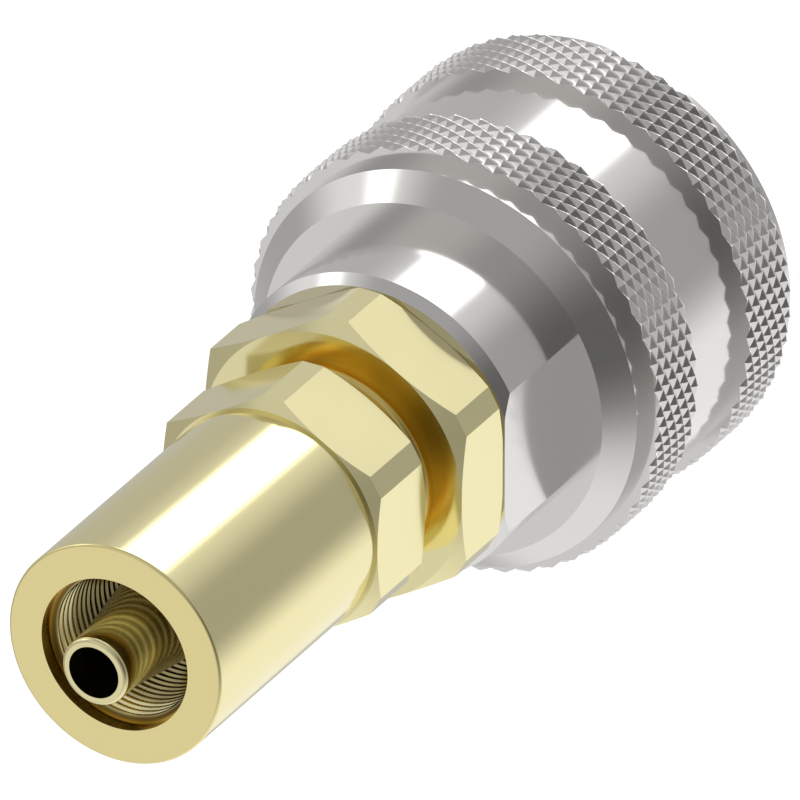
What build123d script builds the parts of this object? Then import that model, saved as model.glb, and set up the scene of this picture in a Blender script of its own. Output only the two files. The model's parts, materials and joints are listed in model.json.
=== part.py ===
from build123d import *
import math
import os

# Quick coupling with a screw-together hose fitting on its back.
# Millimetres. The part stands on its mouth: z = 0 is the mouth plane, +Z runs to the hose end,
# and +X is square to one flat of each hexagon and to one wrench flat of the neck.

# Running and resting clearances
RUN = 0.05            # radial, between pieces that slide or turn on each other
LOOSE = 0.1           # radial, round washers and rings that only need to drop in
SEAT = 0.02           # between flat faces that rest on each other
SEAL_GAP = 0.03       # round the soft rings in their grooves

# Front barrel, which carries the locking balls
BARREL_BORE_R = 10.3
BARREL_CHAMFER = 0.5
MOUTH_CHAMFER = 0.6
BORE_LEDGE = 0.6             # narrow ledge that the valve seat rests on
BORE_RELIEF_DEPTH = 0.2      # shallow ring that keeps the edges of the ball holes off the plug
BORE_RELIEF_MARGIN = 0.3
REAR_SOCKET_WALL = 2.4
SPIGOT_LENGTH = 3.8          # of the rear body, inside the barrel's back

# Locking balls
BALL_R = 2.38
BALL_COUNT = 8
BALL_REACH = 1.2             # how far each ball stands into the bore when it is locked
BALL_SINK = 0.04             # left between a locked ball and the barrel's outside
BALL_HOLE_PLAY = 0.05
BALL_LIP = 0.13              # by which each ball hole narrows at its inner end

# Spring room in front of the sleeve's land
SPRING_ROOM = 2.4            # radial width
SNAP_GROOVE_Z = 1.4
SNAP_RING_THICKNESS = 1.0
SNAP_GROOVE_DEPTH = 0.9
SNAP_RING_INSET = 0.4        # from the ring's edge to the wall of the spring room
SNAP_RING_GAP_DEG = 14.0
SEAT_WASHER_THICKNESS = 0.6
THRUST_WASHER_THICKNESS = 0.6
SLEEVE_SPRING_LENGTH = 7.0
SLEEVE_SPRING_WIRE_R = 0.4
SLEEVE_SPRING_TURNS = 3.0

# Lands and release groove inside the sleeve
LAND_BEFORE_BALLS = 2.0      # from the land's front edge to the balls' centres
LAND_BEHIND_BALLS = 1.0
RELEASE_GROOVE_DEPTH = 1.25
RELEASE_GROOVE_LENGTH = 5.0

# Release sleeve, knurled in two bands with a smooth waist
SLEEVE_WALL = 1.7            # round the spring room
SLEEVE_GAP = 0.05            # to the flange
SLEEVE_END_CHAMFER = 0.3
RIM_HEIGHT = 0.5             # of the plain rim over the waist
RIM_LENGTH = 1.05
KNURL_HEIGHT = 1.0           # of the knurl's tips over the waist
KNURL_DEPTH = 0.35
KNURL_TEETH = 50             # round the sleeve
KNURL_PITCH = 1.145          # along the sleeve
FRONT_BAND_WIDTH = 6.75
REAR_BAND_WIDTH = 6.3
REAR_BAND_SETBACK = 1.3      # smooth strip behind the rear band

# Soft rings
PLUG_SEAL_R = 0.85
PLUG_SEAL_REACH = 0.15       # how far the plug seal stands into the bore
PLUG_SEAL_GROOVE_DEPTH = 1.6
PLUG_SEAL_SETBACK = 0.36     # wall left between the ball holes and the seal's groove
BACKUP_RING_THICKNESS = 0.5
WIPER_R = 0.7
WIPER_SETBACK = 0.7          # barrel wall left behind the wiper's groove
BODY_SEAL_R = 0.5

# Valve
SEAT_RING_THICKNESS = 2.0
SEAT_HOLE_R = 5.5
SEAT_CONE = 1.0
POPPET_NOSE_R = 2.6
POPPET_NOSE_LENGTH = 4.4
POPPET_NECK_PLAY = 0.6       # round the neck, inside the seat
POPPET_HEAD_LAP = 0.5        # of the head over the seat's cone
POPPET_HEAD_THICKNESS = 1.1
POPPET_STEM_R = 1.75
POPPET_STEM_OVERHANG = 0.6
POPPET_SEAL_R = 0.45
VALVE_SPRING_LENGTH = 5.6
VALVE_SPRING_WIRE_R = 0.35
VALVE_SPRING_TURNS = 3.0
VALVE_SPRING_PLAY = 0.8      # between the stem and the spring's wire
GUIDE_THICKNESS = 1.5
GUIDE_PORT_R = 1.8
GUIDE_PORTS = 4
GUIDE_PORT_INSET = 2.7       # from the ports' centres to the wall of the valve's room
SPIGOT_WALL = 2.85

# Rear body: flange and neck behind the spigot
FLANGE_STEP = 0.2            # by which the flange is smaller than the sleeve
FLANGE_THICKNESS = 2.25
FLANGE_CHAMFER = 2.0
NECK_WALL = 5.1              # round the valve's room
NECK_END_CHAMFER = 0.8
NECK_FLAT_DEPTH = 1.6        # by which each wrench flat is cut into the neck
PASSAGE_R = 5.5
PASSAGE_LENGTH = 1.1
PORT_R = 6.58
PORT_DEPTH = 6.05
PORT_SEAL_WIDTH = 1.42
PORT_SEAL_RECESS_DEPTH = 0.8

# Hose stem and bore
STEM_TIP_R = 3.0
STEM_SWELL = 1.6             # by which the stem grows towards the neck
STEM_TIP_LENGTH = 2.95
STEM_TIP_ROUND = 0.4
STEM_TAPER_LENGTH = 11.2
STEM_OVERHANG = 3.3          # how far the stem stands out of the socket
STEM_TIP_WALL = 0.715
STEM_ENTRY_R = 4.2
STEM_ENTRY_DEPTH = 4.0

# Hose socket
SOCKET_BORE_R = 6.6
SOCKET_WALL = 3.2
SOCKET_LENGTH = 32.4
SOCKET_CHAMFER = 0.27
SOCKET_MOUTH_STEP = 0.15
SOCKET_MOUTH_DEPTH = 1.45
SOCKET_HEX_STEP = 0.23       # of the hexagon's flats over the barrel
SOCKET_HEX_WIDTH = 7.7
SOCKET_CORNER_CUT = 0.58

# Screws, neck and hexagon of the nipple
PORT_SCREW_PLAY = 0.08
NIPPLE_END_GAP = 0.2         # left between the nipple's end and the bottom of the port
NIPPLE_HEX_WIDTH = 6.8
NIPPLE_HEX_STEP = 3.4        # of the hexagon's flats over the neck
NIPPLE_CORNER_CUT = 0.58
NIPPLE_NECK_STEP = 0.6       # of the neck over the socket screw
NIPPLE_NECK_LENGTH = 2.5
NIPPLE_NECK_FILLET = 0.6
NIPPLE_SCREW_HEIGHT = 1.4    # of the socket screw over the socket's hose bore
NIPPLE_SCREW_LENGTH = 6.0

# Ends and corners of the hexagons
HEX_CHAMFER_DEG = 30.0
FLAT_CORNERS_DEG = (30, 90, 210, 270, 330)
SHARP_CORNERS_DEG = (150,)

# Radii worked out from the sizes above
BALL_CENTRE_R = BARREL_BORE_R - BALL_REACH + BALL_R
BALL_HOLE_R = BALL_R + BALL_HOLE_PLAY
BALL_LIP_R = BALL_R - BALL_LIP
BARREL_R = BALL_CENTRE_R + BALL_R + BALL_SINK
LAND_R = BARREL_R + RUN
RELEASE_GROOVE_R = LAND_R + RELEASE_GROOVE_DEPTH
SPRING_ROOM_R = BARREL_R + SPRING_ROOM
SNAP_RING_R = SPRING_ROOM_R - SNAP_RING_INSET
SLEEVE_R = SPRING_ROOM_R + SLEEVE_WALL
RIM_R = SLEEVE_R + RIM_HEIGHT
KNURL_TIP_R = SLEEVE_R + KNURL_HEIGHT
KNURL_VALLEY_R = KNURL_TIP_R - KNURL_DEPTH
PLUG_GROOVE_R = BARREL_BORE_R + PLUG_SEAL_GROOVE_DEPTH
REAR_SOCKET_R = BARREL_R - REAR_SOCKET_WALL
SPIGOT_R = REAR_SOCKET_R - RUN
VALVE_ROOM_R = SPIGOT_R - SPIGOT_WALL
POPPET_NECK_R = SEAT_HOLE_R - POPPET_NECK_PLAY
POPPET_HEAD_R = SEAT_HOLE_R + SEAT_CONE + POPPET_HEAD_LAP
VALVE_SPRING_MEAN_R = POPPET_STEM_R + VALVE_SPRING_PLAY + VALVE_SPRING_WIRE_R
GUIDE_PORT_CIRCLE_R = VALVE_ROOM_R - GUIDE_PORT_INSET
FLANGE_R = SLEEVE_R - FLANGE_STEP
NECK_R = VALVE_ROOM_R + NECK_WALL
PORT_SEAL_RECESS_R = PORT_R + PORT_SEAL_WIDTH
PORT_SCREW_R = PORT_R - PORT_SCREW_PLAY
STEM_R = STEM_TIP_R + STEM_SWELL
STEM_BORE_R = STEM_TIP_R - STEM_TIP_WALL
SOCKET_R = SOCKET_BORE_R + SOCKET_WALL
SOCKET_MOUTH_R = SOCKET_BORE_R + SOCKET_MOUTH_STEP
SOCKET_APOTHEM = SOCKET_R + SOCKET_HEX_STEP
NIPPLE_SCREW_R = SOCKET_BORE_R + NIPPLE_SCREW_HEIGHT
NIPPLE_NECK_R = NIPPLE_SCREW_R + NIPPLE_NECK_STEP
NIPPLE_APOTHEM = NIPPLE_NECK_R + NIPPLE_HEX_STEP

# Heights worked out from the sizes above, from the mouth to the hose end
SNAP_BACK_Z = SNAP_GROOVE_Z + SNAP_RING_THICKNESS
SPRING_FRONT_Z = SNAP_BACK_Z + SEAT_WASHER_THICKNESS
SPRING_BACK_Z = SPRING_FRONT_Z + SLEEVE_SPRING_LENGTH
LAND_Z = SPRING_BACK_Z + THRUST_WASHER_THICKNESS
BALL_Z = LAND_Z + LAND_BEFORE_BALLS
LAND_BACK_Z = BALL_Z + LAND_BEHIND_BALLS
GROOVE_BACK_Z = LAND_BACK_Z + RELEASE_GROOVE_LENGTH
PLUG_GROOVE_Z = BALL_Z + BALL_HOLE_R + PLUG_SEAL_SETBACK
PLUG_GROOVE_BACK_Z = PLUG_GROOVE_Z + 2 * (PLUG_SEAL_R + SEAL_GAP) + BACKUP_RING_THICKNESS
BORE_DEPTH = PLUG_GROOVE_BACK_Z + BORE_LEDGE
SEAT_BACK_Z = BORE_DEPTH + SEAT_RING_THICKNESS
FLANGE_Z = SEAT_BACK_Z + SPIGOT_LENGTH
SLEEVE_LENGTH = FLANGE_Z - SLEEVE_GAP
WIPER_GROOVE_BACK_Z = FLANGE_Z - WIPER_SETBACK
WIPER_GROOVE_Z = WIPER_GROOVE_BACK_Z - 2 * (WIPER_R + SEAL_GAP)
NECK_Z = FLANGE_Z + FLANGE_THICKNESS
HEAD_Z = SEAT_BACK_Z + LOOSE
HEAD_BACK_Z = HEAD_Z + POPPET_HEAD_THICKNESS
GUIDE_Z = HEAD_BACK_Z + VALVE_SPRING_LENGTH
GUIDE_BACK_Z = GUIDE_Z + GUIDE_THICKNESS
PORT_Z = GUIDE_BACK_Z + PASSAGE_LENGTH
BACK_Z = PORT_Z + PORT_DEPTH
NIPPLE_Z = PORT_Z + NIPPLE_END_GAP
NIPPLE_HEX_BACK_Z = BACK_Z + NIPPLE_HEX_WIDTH
SOCKET_Z = NIPPLE_HEX_BACK_Z + NIPPLE_NECK_LENGTH
SOCKET_SCREW_END_Z = SOCKET_Z + NIPPLE_SCREW_LENGTH
SOCKET_HEX_BACK_Z = SOCKET_Z + SOCKET_HEX_WIDTH
SOCKET_END_Z = SOCKET_Z + SOCKET_LENGTH
STEM_END_Z = SOCKET_END_Z + STEM_OVERHANG
STEM_TIP_Z = STEM_END_Z - STEM_TIP_LENGTH


def turned(*points):
    """Solid turned about Z from an outline of (radius, height) points."""
    outline = Polyline(*points, close=True)
    return revolve(Plane.XZ * make_face(outline), Axis.Z)


def tube(inner_r, outer_r, low_z, high_z):
    """Plain ring or tube."""
    return turned((inner_r, low_z), (outer_r, low_z), (outer_r, high_z), (inner_r, high_z))


def rod(radius, low_z, high_z):
    """Plain round bar on the axis."""
    return Pos(0, 0, low_z) * Cylinder(radius, high_z - low_z, align=(Align.CENTER, Align.CENTER, Align.MIN))


def soft_ring(centre_r, section_r, z):
    """Ring of round section."""
    return Pos(0, 0, z) * Torus(centre_r, section_r)


def coil(mean_r, wire_r, low_z, high_z, turns):
    """Compression spring between two flat seats."""
    height = high_z - low_z - 2 * wire_r
    path = Pos(0, 0, low_z + wire_r) * Helix(height / turns, height, mean_r)
    section = Plane(origin=path @ 0, z_dir=path % 0) * Circle(wire_r)
    return sweep(section, path=path, is_frenet=True)


def hexagon(apothem, corner_cut, low_z, high_z):
    """Hexagon bar with narrow flats on its corners and a cone on each end."""
    corner_r = apothem / math.cos(math.radians(30))
    corner_flat = corner_r - corner_cut
    half_flat = 2 * apothem - 2 * corner_flat * math.cos(math.radians(30))
    half_angle = math.degrees(math.atan2(half_flat, corner_flat))
    vertex_r = math.hypot(half_flat, corner_flat)
    corners = [(angle, corner_r) for angle in SHARP_CORNERS_DEG]
    for angle in FLAT_CORNERS_DEG:
        corners += [(angle - half_angle, vertex_r), (angle + half_angle, vertex_r)]
    outline = [
        (radius * math.cos(math.radians(angle)), radius * math.sin(math.radians(angle)))
        for angle, radius in sorted(corners)
    ]
    bar = Pos(0, 0, low_z) * extrude(make_face(Polyline(*outline, close=True)), high_z - low_z)
    outside_r = corner_r + 1
    slope = (outside_r - apothem) * math.tan(math.radians(HEX_CHAMFER_DEG))
    cones = turned(
        (0, low_z),
        (apothem, low_z),
        (outside_r, low_z + slope),
        (outside_r, high_z - slope),
        (apothem, high_z),
        (0, high_z),
    )
    return bar & cones


def knurl_point(row, column, high_z):
    """Point of the knurl's lattice, by turns a valley corner and the tip of a tooth."""
    radius = KNURL_VALLEY_R if (row + column) % 2 == 0 else KNURL_TIP_R
    turn = math.pi * column / KNURL_TEETH
    return Vector(radius * math.cos(turn), radius * math.sin(turn), high_z - row * KNURL_PITCH / 2)


def knurl_band(low_z, high_z):
    """Band of pointed diamond teeth, which start whole at the high edge and are cut at the low one."""
    rows = math.ceil(2 * (high_z - low_z) / KNURL_PITCH)
    columns = 2 * KNURL_TEETH
    faces = []
    for row in range(rows):
        for column in range(columns):
            corners = [
                knurl_point(row, column, high_z),
                knurl_point(row + 1, column, high_z),
                knurl_point(row + 1, column + 1, high_z),
                knurl_point(row, column + 1, high_z),
            ]
            first_valley = (row + column) % 2
            valley, tip, far_valley, far_tip = corners[first_valley:] + corners[:first_valley]
            faces.append(Face(Wire.make_polygon([valley, tip, far_valley], close=True)))
            faces.append(Face(Wire.make_polygon([valley, far_valley, far_tip], close=True)))
    for row in (0, rows):
        edge = [knurl_point(row, column, high_z) for column in range(columns)]
        faces.append(Face(Wire.make_polygon(edge, close=True)))
    teeth = Solid(Shell(faces))
    return teeth & tube(SPRING_ROOM_R + SLEEVE_WALL / 2, KNURL_TIP_R + 1, low_z, high_z)


def release_sleeve():
    """Knurled sleeve: lands, release groove and spring room inside."""
    front_band_z = RIM_LENGTH + FRONT_BAND_WIDTH
    rear_band_back_z = SLEEVE_LENGTH - REAR_BAND_SETBACK
    rear_band_z = rear_band_back_z - REAR_BAND_WIDTH
    ramp = RELEASE_GROOVE_R - LAND_R
    plain = turned(
        (SPRING_ROOM_R, 0),
        (RIM_R, 0),
        (RIM_R, RIM_LENGTH),
        (SLEEVE_R, RIM_LENGTH),
        (SLEEVE_R, SLEEVE_LENGTH - SLEEVE_END_CHAMFER),
        (SLEEVE_R - SLEEVE_END_CHAMFER, SLEEVE_LENGTH),
        (LAND_R, SLEEVE_LENGTH),
        (LAND_R, GROOVE_BACK_Z),
        (RELEASE_GROOVE_R, GROOVE_BACK_Z - ramp / 2),
        (RELEASE_GROOVE_R, LAND_BACK_Z + ramp),
        (LAND_R, LAND_BACK_Z),
        (LAND_R, LAND_Z),
        (SPRING_ROOM_R, LAND_Z),
    )
    return plain + knurl_band(RIM_LENGTH, front_band_z) + knurl_band(rear_band_z, rear_band_back_z)


def front_barrel():
    """Barrel with its ball holes, snap ring groove and seal grooves."""
    snap_r = BARREL_R - SNAP_GROOVE_DEPTH
    wiper_r = BARREL_R - 2 * (WIPER_R + SEAL_GAP)
    relief_r = BARREL_BORE_R + BORE_RELIEF_DEPTH
    relief_low_z = BALL_Z - BALL_LIP_R - BORE_RELIEF_MARGIN
    relief_high_z = BALL_Z + BALL_LIP_R + BORE_RELIEF_MARGIN
    barrel = turned(
        (BARREL_BORE_R + MOUTH_CHAMFER, 0),
        (BARREL_R - BARREL_CHAMFER, 0),
        (BARREL_R, BARREL_CHAMFER),
        (BARREL_R, SNAP_GROOVE_Z),
        (snap_r, SNAP_GROOVE_Z),
        (snap_r, SNAP_BACK_Z),
        (BARREL_R, SNAP_BACK_Z),
        (BARREL_R, WIPER_GROOVE_Z),
        (wiper_r, WIPER_GROOVE_Z),
        (wiper_r, WIPER_GROOVE_BACK_Z),
        (BARREL_R, WIPER_GROOVE_BACK_Z),
        (BARREL_R, FLANGE_Z),
        (REAR_SOCKET_R, FLANGE_Z),
        (REAR_SOCKET_R, BORE_DEPTH),
        (BARREL_BORE_R, BORE_DEPTH),
        (BARREL_BORE_R, PLUG_GROOVE_BACK_Z),
        (PLUG_GROOVE_R, PLUG_GROOVE_BACK_Z),
        (PLUG_GROOVE_R, PLUG_GROOVE_Z),
        (BARREL_BORE_R, PLUG_GROOVE_Z),
        (BARREL_BORE_R, relief_high_z),
        (relief_r, relief_high_z),
        (relief_r, relief_low_z),
        (BARREL_BORE_R, relief_low_z),
        (BARREL_BORE_R, MOUTH_CHAMFER),
    )
    lip_drop = math.sqrt(BALL_R**2 - BALL_LIP_R**2)
    lip_r = BALL_CENTRE_R - lip_drop - SEAL_GAP
    outside_r = BARREL_R + 1
    hole = Pos(lip_r, 0, BALL_Z) * Rot(0, 90, 0) * Cylinder(
        BALL_HOLE_R, outside_r - lip_r, align=(Align.CENTER, Align.CENTER, Align.MIN)
    )
    lip_hole = Pos(BARREL_BORE_R / 2, 0, BALL_Z) * Rot(0, 90, 0) * Cylinder(
        BALL_LIP_R, outside_r - BARREL_BORE_R / 2, align=(Align.CENTER, Align.CENTER, Align.MIN)
    )
    for number in range(BALL_COUNT):
        turn = Rot(0, 0, number * 360 / BALL_COUNT)
        barrel = barrel - turn * hole - turn * lip_hole
    return barrel


def locking_ball(number):
    """One locking ball, held in by the sleeve's land."""
    return Rot(0, 0, number * 360 / BALL_COUNT) * Pos(BALL_CENTRE_R, 0, BALL_Z) * Sphere(BALL_R)


def snap_ring():
    """Open ring in the barrel's front groove, the front stop of the sleeve spring."""
    inner_r = BARREL_R - SNAP_GROOVE_DEPTH + SEAL_GAP
    ring = tube(inner_r, SNAP_RING_R, SNAP_GROOVE_Z + SEAT, SNAP_BACK_Z - SEAT)
    gap_width = 2 * SNAP_RING_R * math.sin(math.radians(SNAP_RING_GAP_DEG / 2))
    gap = Pos(0, -SNAP_RING_R, SNAP_GROOVE_Z) * Box(
        gap_width, SNAP_RING_R, 2 * SNAP_RING_THICKNESS, align=(Align.CENTER, Align.CENTER, Align.CENTER)
    )
    return ring - gap


def seat_washer():
    """Flat washer between the snap ring and the spring."""
    return tube(BARREL_R + LOOSE, SPRING_ROOM_R - LOOSE, SNAP_BACK_Z, SPRING_FRONT_Z)


def thrust_washer():
    """Flat washer that lets the sleeve turn against its spring."""
    return tube(BARREL_R + LOOSE, SPRING_ROOM_R - LOOSE, SPRING_BACK_Z, LAND_Z - SEAT)


def sleeve_spring():
    """Spring that holds the sleeve back against the flange."""
    mean_r = (BARREL_R + SPRING_ROOM_R) / 2
    return coil(mean_r, SLEEVE_SPRING_WIRE_R, SPRING_FRONT_Z, SPRING_BACK_Z, SLEEVE_SPRING_TURNS)


def plug_seal():
    """Soft ring that seals on the mating plug."""
    centre_r = BARREL_BORE_R - PLUG_SEAL_REACH + PLUG_SEAL_R
    return soft_ring(centre_r, PLUG_SEAL_R, PLUG_GROOVE_Z + SEAL_GAP + PLUG_SEAL_R)


def backup_ring():
    """Stiff ring behind the plug seal."""
    back_z = PLUG_GROOVE_BACK_Z - SEAT
    inner_r = BARREL_BORE_R + SEAL_GAP
    return tube(inner_r, PLUG_GROOVE_R - SEAL_GAP, back_z - BACKUP_RING_THICKNESS + SEAT, back_z)


def sleeve_wiper():
    """Soft ring that keeps dirt out of the sleeve's back land."""
    centre_r = BARREL_R - SEAL_GAP - WIPER_R
    return soft_ring(centre_r, WIPER_R, WIPER_GROOVE_Z + SEAL_GAP + WIPER_R)


def valve_seat():
    """Ring that the valve closes on, clamped between barrel and spigot."""
    outer_r = SPIGOT_R
    middle_z = BORE_DEPTH + SEAT_RING_THICKNESS / 2
    groove_low_z = middle_z - BODY_SEAL_R - SEAL_GAP
    groove_high_z = middle_z + BODY_SEAL_R + SEAL_GAP
    groove_r = outer_r - 2 * BODY_SEAL_R
    return turned(
        (SEAT_HOLE_R, BORE_DEPTH + SEAT),
        (outer_r, BORE_DEPTH + SEAT),
        (outer_r, groove_low_z),
        (groove_r, groove_low_z),
        (groove_r, groove_high_z),
        (outer_r, groove_high_z),
        (outer_r, SEAT_BACK_Z - SEAT),
        (SEAT_HOLE_R + SEAT_CONE, SEAT_BACK_Z - SEAT),
        (SEAT_HOLE_R, SEAT_BACK_Z - SEAT - SEAT_CONE),
    )


def body_seal():
    """Soft ring round the valve seat."""
    return soft_ring(SPIGOT_R - BODY_SEAL_R + SEAL_GAP / 2, BODY_SEAL_R, BORE_DEPTH + SEAT_RING_THICKNESS / 2)


def valve_poppet():
    """Valve with a push nose, a seal groove and a long guide stem."""
    nose_z = BORE_DEPTH - POPPET_NOSE_LENGTH + SEAT
    neck_z = SEAT_BACK_Z - SEAT_CONE - LOOSE
    groove_r = SEAT_HOLE_R - 2 * POPPET_SEAL_R + SEAL_GAP
    groove_z = HEAD_Z - 2 * POPPET_SEAL_R
    return turned(
        (0, nose_z),
        (POPPET_NOSE_R - LOOSE, nose_z),
        (POPPET_NOSE_R, nose_z + LOOSE),
        (POPPET_NOSE_R, neck_z - (POPPET_NECK_R - POPPET_NOSE_R)),
        (POPPET_NECK_R, neck_z),
        (groove_r, groove_z),
        (groove_r, HEAD_Z),
        (POPPET_HEAD_R, HEAD_Z),
        (POPPET_HEAD_R, HEAD_BACK_Z),
        (POPPET_STEM_R, HEAD_BACK_Z),
        (POPPET_STEM_R, GUIDE_BACK_Z + POPPET_STEM_OVERHANG),
        (0, GUIDE_BACK_Z + POPPET_STEM_OVERHANG),
    )


def poppet_seal():
    """Soft ring on the valve's head."""
    centre_r = SEAT_HOLE_R - POPPET_SEAL_R + 2 * SEAL_GAP
    return soft_ring(centre_r, POPPET_SEAL_R, HEAD_Z - POPPET_SEAL_R)


def valve_spring():
    """Spring between the valve's head and its guide."""
    return coil(VALVE_SPRING_MEAN_R, VALVE_SPRING_WIRE_R, HEAD_BACK_Z, GUIDE_Z, VALVE_SPRING_TURNS)


def valve_guide():
    """Guide with ports for the oil, held against the body's shoulder."""
    guide = tube(POPPET_STEM_R + RUN, VALVE_ROOM_R - RUN, GUIDE_Z, GUIDE_BACK_Z - SEAT)
    port = rod(GUIDE_PORT_R, GUIDE_Z - 1, GUIDE_BACK_Z + 1)
    for number in range(GUIDE_PORTS):
        guide -= Rot(0, 0, number * 360 / GUIDE_PORTS) * Pos(GUIDE_PORT_CIRCLE_R, 0, 0) * port
    return guide


def rear_body():
    """Spigot, flange and flatted neck with the hose port."""
    body = turned(
        (VALVE_ROOM_R, SEAT_BACK_Z),
        (SPIGOT_R, SEAT_BACK_Z),
        (SPIGOT_R, FLANGE_Z),
        (FLANGE_R, FLANGE_Z),
        (FLANGE_R, NECK_Z - FLANGE_CHAMFER),
        (FLANGE_R - FLANGE_CHAMFER, NECK_Z),
        (NECK_R, NECK_Z),
        (NECK_R, BACK_Z - NECK_END_CHAMFER),
        (NECK_R - NECK_END_CHAMFER, BACK_Z),
        (PORT_SEAL_RECESS_R, BACK_Z),
        (PORT_SEAL_RECESS_R, BACK_Z - PORT_SEAL_RECESS_DEPTH),
        (PORT_R, BACK_Z - PORT_SEAL_RECESS_DEPTH),
        (PORT_R, PORT_Z),
        (PASSAGE_R, PORT_Z),
        (PASSAGE_R, GUIDE_BACK_Z),
        (VALVE_ROOM_R, GUIDE_BACK_Z),
    )
    side = Box(
        NECK_R, 2 * NECK_R, BACK_Z - NECK_Z, align=(Align.MIN, Align.CENTER, Align.MIN)
    )
    for turn in (0, 180):
        body -= Rot(0, 0, turn) * Pos(NECK_R - NECK_FLAT_DEPTH, 0, NECK_Z) * side
    return body


def port_seal():
    """Flat seal between the nipple's hexagon and the body's back face."""
    low_z = BACK_Z - PORT_SEAL_RECESS_DEPTH
    return tube(PORT_R + SEAL_GAP, PORT_SEAL_RECESS_R - SEAL_GAP, low_z + SEAT, BACK_Z - SEAT)


def hose_nipple():
    """Nipple: port screw, hexagon, neck, socket screw and tapered stem, with one bore."""
    taper_z = STEM_TIP_Z - STEM_TAPER_LENGTH
    port_end = turned(
        (0, NIPPLE_Z),
        (PORT_SCREW_R - NIPPLE_END_GAP, NIPPLE_Z),
        (PORT_SCREW_R, NIPPLE_Z + NIPPLE_END_GAP),
        (PORT_SCREW_R, BACK_Z + 1),
        (0, BACK_Z + 1),
    )
    hose_end = turned(
        (0, NIPPLE_HEX_BACK_Z - 1),
        (NIPPLE_NECK_R, NIPPLE_HEX_BACK_Z - 1),
        (NIPPLE_NECK_R, SOCKET_Z - SEAT),
        (NIPPLE_SCREW_R, SOCKET_Z - SEAT),
        (NIPPLE_SCREW_R, SOCKET_SCREW_END_Z),
        (STEM_R, SOCKET_SCREW_END_Z),
        (STEM_R, taper_z),
        (STEM_TIP_R, STEM_TIP_Z),
        (STEM_TIP_R, STEM_END_Z),
        (0, STEM_END_Z),
    )
    nipple = port_end + hexagon(NIPPLE_APOTHEM, NIPPLE_CORNER_CUT, BACK_Z + SEAT, NIPPLE_HEX_BACK_Z)
    nipple += hose_end
    root = [
        edge
        for edge in nipple.edges().filter_by(GeomType.CIRCLE)
        if abs(edge.center().Z - NIPPLE_HEX_BACK_Z) < SEAT and abs(edge.radius - NIPPLE_NECK_R) < SEAT
    ]
    nipple = fillet(root, NIPPLE_NECK_FILLET)
    tip = [
        edge
        for edge in nipple.edges().filter_by(GeomType.CIRCLE)
        if abs(edge.center().Z - STEM_END_Z) < SEAT
    ]
    nipple = fillet(tip, STEM_TIP_ROUND)
    nipple -= rod(STEM_BORE_R, NIPPLE_Z - 1, STEM_END_Z + 1)
    nipple -= rod(STEM_ENTRY_R, NIPPLE_Z - 1, NIPPLE_Z + STEM_ENTRY_DEPTH)
    return nipple


def hose_socket():
    """Socket: hexagon and plain barrel, bored for the hose and for the nipple's screw."""
    barrel = turned(
        (0, SOCKET_HEX_BACK_Z - 1),
        (SOCKET_R, SOCKET_HEX_BACK_Z - 1),
        (SOCKET_R, SOCKET_END_Z - SOCKET_CHAMFER),
        (SOCKET_R - SOCKET_CHAMFER, SOCKET_END_Z),
        (0, SOCKET_END_Z),
    )
    socket = barrel + hexagon(SOCKET_APOTHEM, SOCKET_CORNER_CUT, SOCKET_Z, SOCKET_HEX_BACK_Z)
    socket -= rod(SOCKET_BORE_R, SOCKET_Z - 1, SOCKET_END_Z + 1)
    socket -= rod(NIPPLE_SCREW_R + RUN, SOCKET_Z - 1, SOCKET_SCREW_END_Z + LOOSE)
    socket -= rod(SOCKET_MOUTH_R, SOCKET_END_Z - SOCKET_MOUTH_DEPTH, SOCKET_END_Z + 1)
    return socket


PIECES = {
    "hose_socket": hose_socket,
    "hose_nipple": hose_nipple,
    "port_seal": port_seal,
    "rear_body": rear_body,
    "front_barrel": front_barrel,
    "valve_seat": valve_seat,
    "body_seal": body_seal,
    "valve_poppet": valve_poppet,
    "poppet_seal": poppet_seal,
    "valve_spring": valve_spring,
    "valve_guide": valve_guide,
    "plug_seal": plug_seal,
    "backup_ring": backup_ring,
    "release_sleeve": release_sleeve,
    "sleeve_spring": sleeve_spring,
    "seat_washer": seat_washer,
    "thrust_washer": thrust_washer,
    "snap_ring": snap_ring,
    "sleeve_wiper": sleeve_wiper,
}

os.makedirs("parts", exist_ok=True)
for name, build in PIECES.items():
    export_step(build(), f"parts/{name}.step")
for ball_number in range(BALL_COUNT):
    export_step(locking_ball(ball_number), f"parts/locking_ball_{ball_number + 1}.step")
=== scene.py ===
import bmesh
import bpy
import json
import math
from mathutils import Matrix, Vector


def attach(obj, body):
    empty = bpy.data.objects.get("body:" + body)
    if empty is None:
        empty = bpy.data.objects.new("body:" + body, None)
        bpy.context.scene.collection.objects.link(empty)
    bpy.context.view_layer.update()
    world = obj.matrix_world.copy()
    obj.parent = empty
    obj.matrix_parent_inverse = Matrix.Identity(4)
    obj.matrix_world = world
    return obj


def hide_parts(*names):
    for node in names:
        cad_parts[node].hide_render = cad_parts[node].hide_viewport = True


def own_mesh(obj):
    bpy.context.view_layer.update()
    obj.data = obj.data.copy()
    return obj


# Looks of the quick coupling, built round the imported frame. Sizes here are millimetres and are
# turned into metres when a mesh is made. z = 0 is the mouth plane and +Z runs to the hose end.

MM = 0.001
TURN_STEPS = 240              # regular steps round each turned surface
SHARP_DEG = 18                # edges steeper than this stay sharp
SOFT_EDGE = 0.09              # radius of the small rounding on machined edges
SOFT_SHARE = 0.4              # of an edge's length, the most that a rounding takes
WELD_M = 1e-7                 # points closer than this, in metres, are merged in a mesh
NODE_WELD_M = 1e-6            # the same in geometry nodes

# Steps of a rounded edge, over a quarter turn
ROUND_TURNS = [math.radians(step) for step in range(0, 91, 15)]

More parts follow.
